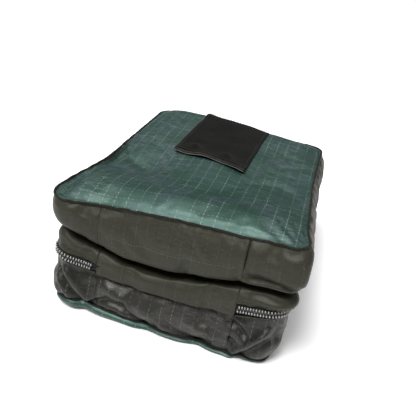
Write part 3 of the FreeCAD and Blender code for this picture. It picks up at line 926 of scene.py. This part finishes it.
def build_bottom():
    """The bottom panel: it bellies out below its seam and lies flat on the floor."""
    place, rim_z, normal, reach, shape = panel_grid(0, 84, 100, 0.35)
    turn = np.arctan2(place[:, 1], place[:, 0])
    s, rim = seam_curve(0)
    rim_turn = np.arctan2(rim[:, 1], rim[:, 0])
    order = np.argsort(rim_turn)
    out = np.interp(turn, rim_turn[order], around("bottom_out", s)[order], period=2 * np.pi)
    inward = 1 - reach
    stops = (0, 0.012, 0.03, 0.045, 0.06, 0.09)
    belly = np.interp(inward, stops, (0, 0.75, 1.0, 0.85, 0.5, 0))
    z = rim_z * np.interp(inward, stops, (1, 0.72, 0.32, 0.1, 0.0, 0))
    place = place + normal * (belly * out)[:, None]
    ripple = 0.4 * waves(place, 21, 24) * smooth(0.5, 3, z) * smooth(1, 0.99, reach)
    z = np.maximum(z + ripple, FLOOR_CLEAR)
    z = np.where(reach > 0.9999, rim_z, z)
    faces = [tuple(reversed(f)) for f in grid_faces(*shape)]
    made = make_mesh("bottom_cloth", np.column_stack([place, z]), faces, place)
    refine(made, 0.0)
    return made


bottom = build_bottom()
dress(bottom, "top", "base", "top_cloth", "bottom_panel")


# ------------ piping, stitches and bindings


def ring_faces(rings, sides, closed=False):
    """Quads between neighbouring rings of points; closed also joins the last to the first."""
    return [
        (i * sides + k, j * sides + k, j * sides + (k + 1) % sides, i * sides + (k + 1) % sides)
        for i in range(rings if closed else rings - 1)
        for j in [(i + 1) % rings]
        for k in range(sides)
    ]


CORD_SIDES = 8


def tube(name, path, radius):
    """A closed round cord through a loop of points."""
    ahead = unit(np.roll(path, -1, axis=0) - np.roll(path, 1, axis=0))
    across = unit(np.cross(ahead, [0, 0, 1.0]))
    up = np.cross(across, ahead)
    turns = np.linspace(0, 2 * math.pi, CORD_SIDES, endpoint=False)
    ring = [across * math.cos(t) + up * math.sin(t) for t in turns]
    verts = np.stack([path + radius * r for r in ring], axis=1).reshape(-1, 3)
    return make_mesh(name, verts, ring_faces(len(path), CORD_SIDES, closed=True))


def seam_piping(name, row, drop, body, node_name):
    """The corded piping sewn into the wall's first or last row."""
    s, rim = seam_curve(row, 700)
    _, normal = outline_at(s)
    path = rim.copy()
    path[:, :2] += normal * 0.8
    path[:, 2] += drop + 0.18 * waves(rim[:, :2], 31, 9)
    path[:, 2] = np.maximum(path[:, 2], 1.4)
    made = tube(name, path, 1.0)
    return dress(made, "piping", body, "piping", node_name)


seam_piping("top_piping", WALL_ROWS - 1, -0.1, "lid", "top_seam_piping")
seam_piping("bottom_piping", 0, 0.2, "base", "bottom_seam_piping")


def capsule(length, width, height, rings=5, sides=6):
    """Template for a stitch or a zip tooth: a rounded bar along its first axis."""
    verts = []
    for i in range(rings):
        t = -1 + 2 * i / (rings - 1)
        x = t * length / 2
        full = max(0.0, 1 - abs(t) ** 4) ** 0.5 * 0.75 + 0.25
        for k in range(sides):
            a = 2 * math.pi * k / sides
            verts.append((x, width / 2 * full * math.cos(a), height / 2 * full * math.sin(a)))
    faces = ring_faces(rings, sides)
    faces.append(tuple(range(sides)))
    faces.append(tuple((rings - 1) * sides + k for k in reversed(range(sides))))
    return np.array(verts), faces


def scatter(name, template, places, first, second, third):
    """Copies of a template at places, turned so that its axes lie along the three directions."""
    shape, faces = template
    size = len(shape)
    turn = np.stack([first, second, third], axis=1)
    verts = np.einsum("vk,nkj->nvj", shape, turn) + places[:, None, :]
    every = [tuple(i + n * size for i in face) for n in range(len(places)) for face in faces]
    return make_mesh(name, verts.reshape(-1, 3), every)


def stitch_row(name, s, height, out, body, finish="dark_thread", length=2.3, thick=0.55):
    """A row of stitches round the wall at a flat height from the zip."""
    place, along, up, normal = wall_frame(s, np.full(len(s), float(height)))
    made = scatter(name, capsule(length, thick, thick), place + normal * out, along, up, normal)
    return dress(made, finish, body, "binding")


STITCH_PITCH = 3.1
STITCH_ROW = ZIP_OPENING + 2.2
ZIP_RUN = np.concatenate(
    [
        np.arange(RIGHT_SEAM + 1.5, ROUND, STITCH_PITCH),
        np.arange(0.0, LEFT_SEAM - 1.0, STITCH_PITCH),
    ]
)
stitch_row("upper_zip_stitches", ZIP_RUN, STITCH_ROW, 0.25, "lid")
stitch_row("lower_zip_stitches", ZIP_RUN, -STITCH_ROW, 0.25, "base")


def quilt_line():
    """A line of fine stitches across the hinge panel, above the waist."""
    middle = np.argmin(np.abs(COLUMNS - at_front(0.0)))
    above = np.nonzero(WALL_GRID[:, middle, 2] > 84)[0][0]
    run = np.arange(LEFT_SEAM + 8, RIGHT_SEAM - 6, 2.1)
    stitch_row("panel_stitches", run, WALL_FAR[above], 0.1, "lid", "thread", 1.1, 0.45)


quilt_line()


# ------------ the zip


def zip_line(s):
    """The middle of the zip, with its directions, set back a little behind the wall's face."""
    place, along, up, out = wall_frame(s, np.zeros(len(s)))
    level = np.zeros_like(up)
    level[:, 2] = 1
    out = unit(np.cross(along, level))
    return place, along, np.cross(out, along), out


def zip_teeth(name, side, body, cad_node):
    """One row of coil teeth: roots painted pale as glints, heads painted dark as shade, nesting in
    the other row.
    """
    count = int((ROUND - (RIGHT_SEAM - LEFT_SEAM) - 4) / TOOTH_PITCH)
    offset = 0.5 * TOOTH_PITCH if side > 0 else 0.0
    s = RIGHT_SEAM + 2 + offset + np.arange(count) * TOOTH_PITCH
    place, along, up, out = zip_line(s)
    spot = place + up * side * 2.1 + out * 1.0
    glint_roots = scatter(name, capsule(2.1, 1.5, 1.9, 6, 8), spot, up, along, out)
    spot = place + up * side * 0.6 + out * 0.6
    heads = scatter(name + "_heads", capsule(2.6, 1.3, 1.5), spot, up, along, out)
    dress(glint_roots, "teeth", body, "zip_coil", cad_node)
    dress(heads, "heads", body, "zip_coil")


zip_teeth("upper_zip_teeth", 1, "lid", "upper_zip_coil")
zip_teeth("lower_zip_teeth", -1, "base", "lower_zip_coil")


def zip_tape(name, side, body, cad_node):
    """The woven tape that the teeth are sewn to, tucked behind the wall's folded edge."""
    s = spread(RIGHT_SEAM - 3, LEFT_SEAM + ROUND + 3, 2.5)
    place, _, up, out = zip_line(s)
    rows = [place + up * side * h + out * o for h, o in ((0.3, 0.0), (2.6, 0.1), (3.4, -0.3))]
    for height, behind in ((ZIP_OPENING + 1.5, 2.2), (ZIP_OPENING + 5.0, 2.4)):
        spot, _, _, outward = wall_frame(s, np.full(len(s), side * height))
        rows.append(spot - outward * behind)
    verts = np.stack(rows, axis=0).reshape(-1, 3)
    faces = grid_faces(len(s), len(rows))
    if side < 0:
        faces = [tuple(reversed(f)) for f in faces]
    made = make_mesh(name, verts, faces)
    refine(made, 0.5, 0)
    return dress(made, "tape", body, "zip_tape", cad_node)


zip_tape("upper_tape", 1, "lid", "upper_zip_tape")
zip_tape("lower_tape", -1, "base", "lower_zip_tape")


# ------------ loop patch


def top_point(x, y):
    """Height of the crumpled top under points (x, y)."""
    flat = TOP_NET.reshape(-1, 3)
    across, along = TOP_GRID
    guess_u = np.clip((x / (HALF_X * CORNER_PULL) + 1) / 2 * (across - 1), 0, across - 1.001)
    guess_v = np.clip((y / (HALF_Y * CORNER_PULL) + 1) / 2 * (along - 1), 0, along - 1.001)
    for _ in range(12):
        c, r = guess_u.astype(int), guess_v.astype(int)
        tu, tv = guess_u - c, guess_v - r
        p00, p10 = flat[r * across + c], flat[r * across + c + 1]
        p01, p11 = flat[(r + 1) * across + c], flat[(r + 1) * across + c + 1]
        tu, tv = tu[:, None], tv[:, None]
        here = (p00 * (1 - tu) + p10 * tu) * (1 - tv) + (p01 * (1 - tu) + p11 * tu) * tv
        step_u = np.maximum(np.abs(p10[:, 0] - p00[:, 0]), 0.5)
        step_v = np.maximum(np.abs(p01[:, 1] - p00[:, 1]), 0.5)
        guess_u = np.clip(guess_u + 0.8 * (x - here[:, 0]) / step_u, 0, across - 1.001)
        guess_v = np.clip(guess_v + 0.8 * (y - here[:, 1]) / step_v, 0, along - 1.001)
    return here[:, 2]


PATCH_WIDE, PATCH_DEEP = 78.0, 110.0
# Where the patch's corners lie on the cover: front left, front right, back left, back right.
PATCH_CORNERS = ((-44, 0), (31, -15), (-40, 110), (36, 101))


def patch_point(u, v):
    """A place on the patch from its own flat coordinates, pulled a little askew by the cloth."""
    a, b = u / PATCH_WIDE + 0.5, v / PATCH_DEEP + 0.5
    fl, fr, bl, br = PATCH_CORNERS
    return tuple(
        (fl[i] * (1 - a) + fr[i] * a) * (1 - b) + (bl[i] * (1 - a) + br[i] * a) * b for i in (0, 1)
    )


def patch_lift(u, v):
    """How far the patch's face stands off the top: its front edge is loose and wavy."""
    edge = np.maximum(np.abs(u) / (PATCH_WIDE / 2), np.abs(v) / (PATCH_DEEP / 2))
    near = smooth(-PATCH_DEEP / 2 + 20, -PATCH_DEEP / 2 + 4, v)
    front = smooth(-PATCH_DEEP / 2 + 12, -PATCH_DEEP / 2, v)
    humps = hump(u, -20, 6) + 0.9 * hump(u, 15, 6.5)
    behind = hump(v + PATCH_DEEP / 2, 12, 6)
    wave = 0.5 + 0.5 * np.cos((u + 6) / 6.0)
    corner = smooth(-18, -PATCH_WIDE / 2, u) * smooth(30, PATCH_DEEP / 2, v)
    lift = 1.2 * near + 4.2 * humps * behind + front * (1.4 * wave + 0.8) + 1.5 * corner
    return 2.2 - 0.7 * smooth(0.94, 1.0, edge) + lift


def build_patch():
    """The patch of loop pile, laid on the crumpled top."""
    across, along = 49, 57
    u = np.linspace(-PATCH_WIDE / 2, PATCH_WIDE / 2, across)
    v = np.linspace(-PATCH_DEEP / 2, PATCH_DEEP / 2, along)
    u, v = (t.ravel() for t in np.meshgrid(u, v))
    flat = np.stack([u, v], axis=-1)
    ragged = waves(flat, 41, 30) * 0.5
    x, y = patch_point(u * (1 + 0.006 * ragged), v * (1 + 0.006 * ragged))
    z = top_point(x, y) + patch_lift(u, v)
    verts = np.stack([x, y, z], axis=-1)
    made = make_mesh("loop_cloth", verts, grid_faces(across, along), flat)
    refine(made, 1.6)
    return dress(made, "loop", "lid", "loop_patch", "loop_patch")


build_patch()


def patch_edge():
    """The rolled hem of the patch's loose front edge, with its pale selvedge under it."""
    u = np.linspace(-PATCH_WIDE / 2 + 1, PATCH_WIDE / 2 - 1, 90)
    v = np.full(len(u), -PATCH_DEEP / 2 + 0.4)
    x, y = patch_point(u, v)
    z = top_point(x, y) + patch_lift(u, v)
    for name, finish, radius, ahead, down in (
        ("loop_patch_hem", "hem", 1.25, 0.2, 0.9),
        ("loop_patch_selvedge", "thread", 0.4, 1.3, 1.9),
    ):
        out = np.column_stack([x, y - ahead, z - down])
        back = np.column_stack([x, y + 0.6, z - down - 0.2])[::-1]
        made = tube(name, np.concatenate([out, back]), radius)
        dress(made, finish, "lid", "loop_patch")


patch_edge()


def patch_stitches():
    """Stitches along the patch's four sides, a few millimetres in from its edge."""
    inset, pitch = 3.0, 3.0
    half_u, half_v = PATCH_WIDE / 2 - inset, PATCH_DEEP / 2 - inset
    runs = []
    for v in (-half_v, half_v):
        runs += [(u, v, 1, 0) for u in np.arange(-half_u, half_u, pitch)]
    for u in (-half_u, half_u):
        runs += [(u, v, 0, 1) for v in np.arange(-half_v, half_v, pitch)]
    u, v, du, dv = np.array(runs, float).T
    x, y = patch_point(u, v)
    ahead_x, ahead_y = patch_point(u + du, v + dv)
    z = top_point(x, y) + 0.1 + patch_lift(u, v)
    ahead_z = top_point(ahead_x, ahead_y) + 0.1 + patch_lift(u + du, v + dv)
    place = np.stack([x, y, z], axis=-1)
    along = unit(np.stack([ahead_x, ahead_y, ahead_z], axis=-1) - place)
    side = unit(np.cross([0.0, 0.0, 1.0], along))
    out = np.cross(along, side)
    made = scatter("loop_patch_stitches", capsule(2.2, 0.5, 0.4), place, along, side, out)
    return dress(made, "dark_thread", "lid", "loop_patch")


patch_stitches()


# ------------ foam slabs and inner bindings


def squeeze(places):
    """Moves points in from the cover, so that the foam stays a little way behind it."""
    near = np.hypot(*(places[:, None, :2] - PLACES[None, ::6]).transpose(2, 0, 1)).argmin(1) * 6
    normal = NORMALS[near]
    inset = ((PLACES[near] - places[:, :2]) * normal).sum(1)
    column = np.minimum(np.searchsorted(COLUMNS, FAR[near]), len(COLUMNS) - 1)
    around_place, around_normal = outline_at(COLUMNS)
    depth = ((around_place[None] - WALL_GRID[:, :, :2]) * around_normal[None]).sum(2)
    beside = np.abs(WALL_GRID[:, column, 2] - places[None, :, 2]) < 5
    need = np.where(beside, depth[:, column], -99).max(0) + FOAM_GAP
    shift = np.maximum(need - inset, 0) * (inset < 40)
    places[:, :2] -= normal * shift[:, None]
    return places


def foam_slab(name, cad_node, body, seed):
    """A foam slab with softly rounded edges and a slight swell, held in shape by the cover."""
    low, high = (np.array(corner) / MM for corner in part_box(cad_node))
    half = (high - low) / 2
    middle = (high + low) / 2
    made = add_object(name, bpy.data.meshes.new(name))
    mesh = bmesh.new()
    bmesh.ops.create_cube(mesh, size=2.0)
    bmesh.ops.subdivide_edges(mesh, edges=mesh.edges[:], cuts=28, use_grid_fill=True)
    mesh.to_mesh(made.data)
    mesh.free()
    cube = coords(made) * MM
    lean = np.abs(cube) ** 6
    round_off = (lean[:, [1, 2, 0]] + lean[:, [2, 0, 1]]) * np.array([4.0, 4.0, 3.2])
    places = cube * (half - 1.0 - round_off)
    places += cube * (waves(places, seed, 40) * FOAM_SWELL)[:, None]
    places += middle
    if body == "lid":
        level = np.minimum(places[:, 2], top_point(places[:, 0], places[:, 1]) - 4.0)
        places[:, 2] = np.where(cube[:, 2] > 0.5, level, places[:, 2])
    set_coords(made, squeeze(places))
    refine(made, 0.0)
    return dress(made, "foam", body, "foam", cad_node)


foam_slab("upper_foam", "upper_foam_slab", "lid", 51)
foam_slab("lower_foam", "lower_foam_slab", "base", 52)


def inner_tape(name, s, heights, body):
    """A woven tape sewn to the inside of the wall, over a seam's raw edges."""
    grid_s, grid_h = np.meshgrid(s, heights)
    place, _, _, out = wall_frame(grid_s, grid_h)
    verts = (place - out * 1.5).reshape(-1, 3)
    made = make_mesh(name + "_tape", verts, grid_faces(len(s), len(heights)))
    refine(made, 0.8, 0)
    return dress(made, "binding", body, "binding", name)


LOOP = np.append(np.arange(0, ROUND, 2.5), ROUND)
TOP_FAR, FOOT_FAR = WALL_FAR[-1], WALL_FAR[0]
inner_tape("top_seam_binding", LOOP, np.linspace(TOP_FAR - 11, TOP_FAR - 5, 4), "lid")
inner_tape("bottom_seam_binding", LOOP, np.linspace(FOOT_FAR + 1.5, FOOT_FAR + 7, 4), "base")
for side, seam in (("left", LEFT_SEAM), ("right", RIGHT_SEAM)):
    width = np.linspace(seam - 6, seam + 6, 7)
    high = np.linspace(ZIP_OPENING + 6, TOP_FAR - 8, 34)
    low = np.linspace(FOOT_FAR + 8, -ZIP_OPENING - 6, 24)
    inner_tape("upper_seam_binding_" + side, width, high, "lid")
    inner_tape("lower_seam_binding_" + side, width, low, "base")

for cad_node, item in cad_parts.items():
    if "slider" in cad_node or "pull" in cad_node:
        item.data.materials.clear()
        item.data.materials.append(MATERIALS["metal"])

bpy.data.objects.remove(wall)

# ------------ floor, light and camera


def stage_material():
    """The plain, nearly white floor."""
    made, tree, shader = material("studio_floor", 0.9, 0.0)
    place = node(tree, "ShaderNodeTexCoord").outputs["Object"]
    tone = ramp(tree, noise(tree, place, 3.0), 0.3, 0.7)
    colour = mix_colour(tree, tone, (0.93, 0.93, 0.93, 1), (0.96, 0.96, 0.96, 1))
    tree.links.new(colour, shader.inputs["Base Color"])
    return made


FLOOR_HALF = 20000
SQUARE = ((-1, -1), (1, -1), (1, 1), (-1, 1))
FLOOR_CORNERS = [(x * FLOOR_HALF, y * FLOOR_HALF, 0) for x, y in SQUARE]
floor = make_mesh("floor", FLOOR_CORNERS, [(0, 1, 2, 3)])
floor.data.materials.append(stage_material())


def soft_light(name, place, spread_angle, strength):
    """A broad, even light from far off, in the direction of place, so the floor is lit alike."""
    data = bpy.data.lights.new(name, "SUN")
    data.angle = math.radians(spread_angle)
    data.energy = strength
    made = add_object(name, data)
    made.location = Vector(place) * MM
    made.rotation_euler = (-made.location).to_track_quat("-Z", "Y").to_euler()


soft_light("overhead", (-120, -300, 1140), 33, 1.2)
soft_light("key", (-300, -600, 1090), 24, 2.5)


def studio_world():
    """A soft box of a room: bright overhead, dim towards the horizon, plain white to the camera."""
    world = bpy.data.worlds.new("studio")
    bpy.context.scene.world = world
    world.use_nodes = True
    tree = world.node_tree
    way = node(tree, "ShaderNodeTexCoord").outputs["Generated"]
    height = node(tree, "ShaderNodeSeparateXYZ", Vector=way).outputs["Z"]
    glow = ramp(tree, height, 0.35, 1.0, 0.08, 0.9)
    seen = node(tree, "ShaderNodeLightPath").outputs["Is Camera Ray"]
    glow = math_node(tree, "MAXIMUM", glow, seen)
    tree.nodes["Background"].inputs["Color"].default_value = (1, 1, 1, 1)
    tree.links.new(glow, tree.nodes["Background"].inputs["Strength"])


studio_world()

CAMERA_PLACE = Vector((83.7, -419.2, 285.4))
AZIMUTH, ELEVATION, ROLL = 11.35, 27.15, 9.5
LENS = 40.2


def studio_camera():
    """The photo's camera, with its roll."""
    data = bpy.data.cameras.new("camera")
    data.lens = LENS
    data.sensor_width = 36
    data.clip_start = 0.01
    made = add_object("camera", data)
    az, el, roll = (math.radians(a) for a in (AZIMUTH, ELEVATION, ROLL))
    back = Vector((math.sin(az) * math.cos(el), -math.cos(az) * math.cos(el), math.sin(el)))
    right = (-back).cross(Vector((0, 0, 1))).normalized()
    up = right.cross(-back)
    tilted_right = right * math.cos(roll) + up * math.sin(roll)
    tilted_up = up * math.cos(roll) - right * math.sin(roll)
    turn = Matrix((tilted_right, tilted_up, back)).transposed()
    made.matrix_world = Matrix.Translation(CAMERA_PLACE * MM) @ turn.to_4x4()
    bpy.context.scene.camera = made


studio_camera()
bpy.context.scene.view_settings.view_transform = "Standard"
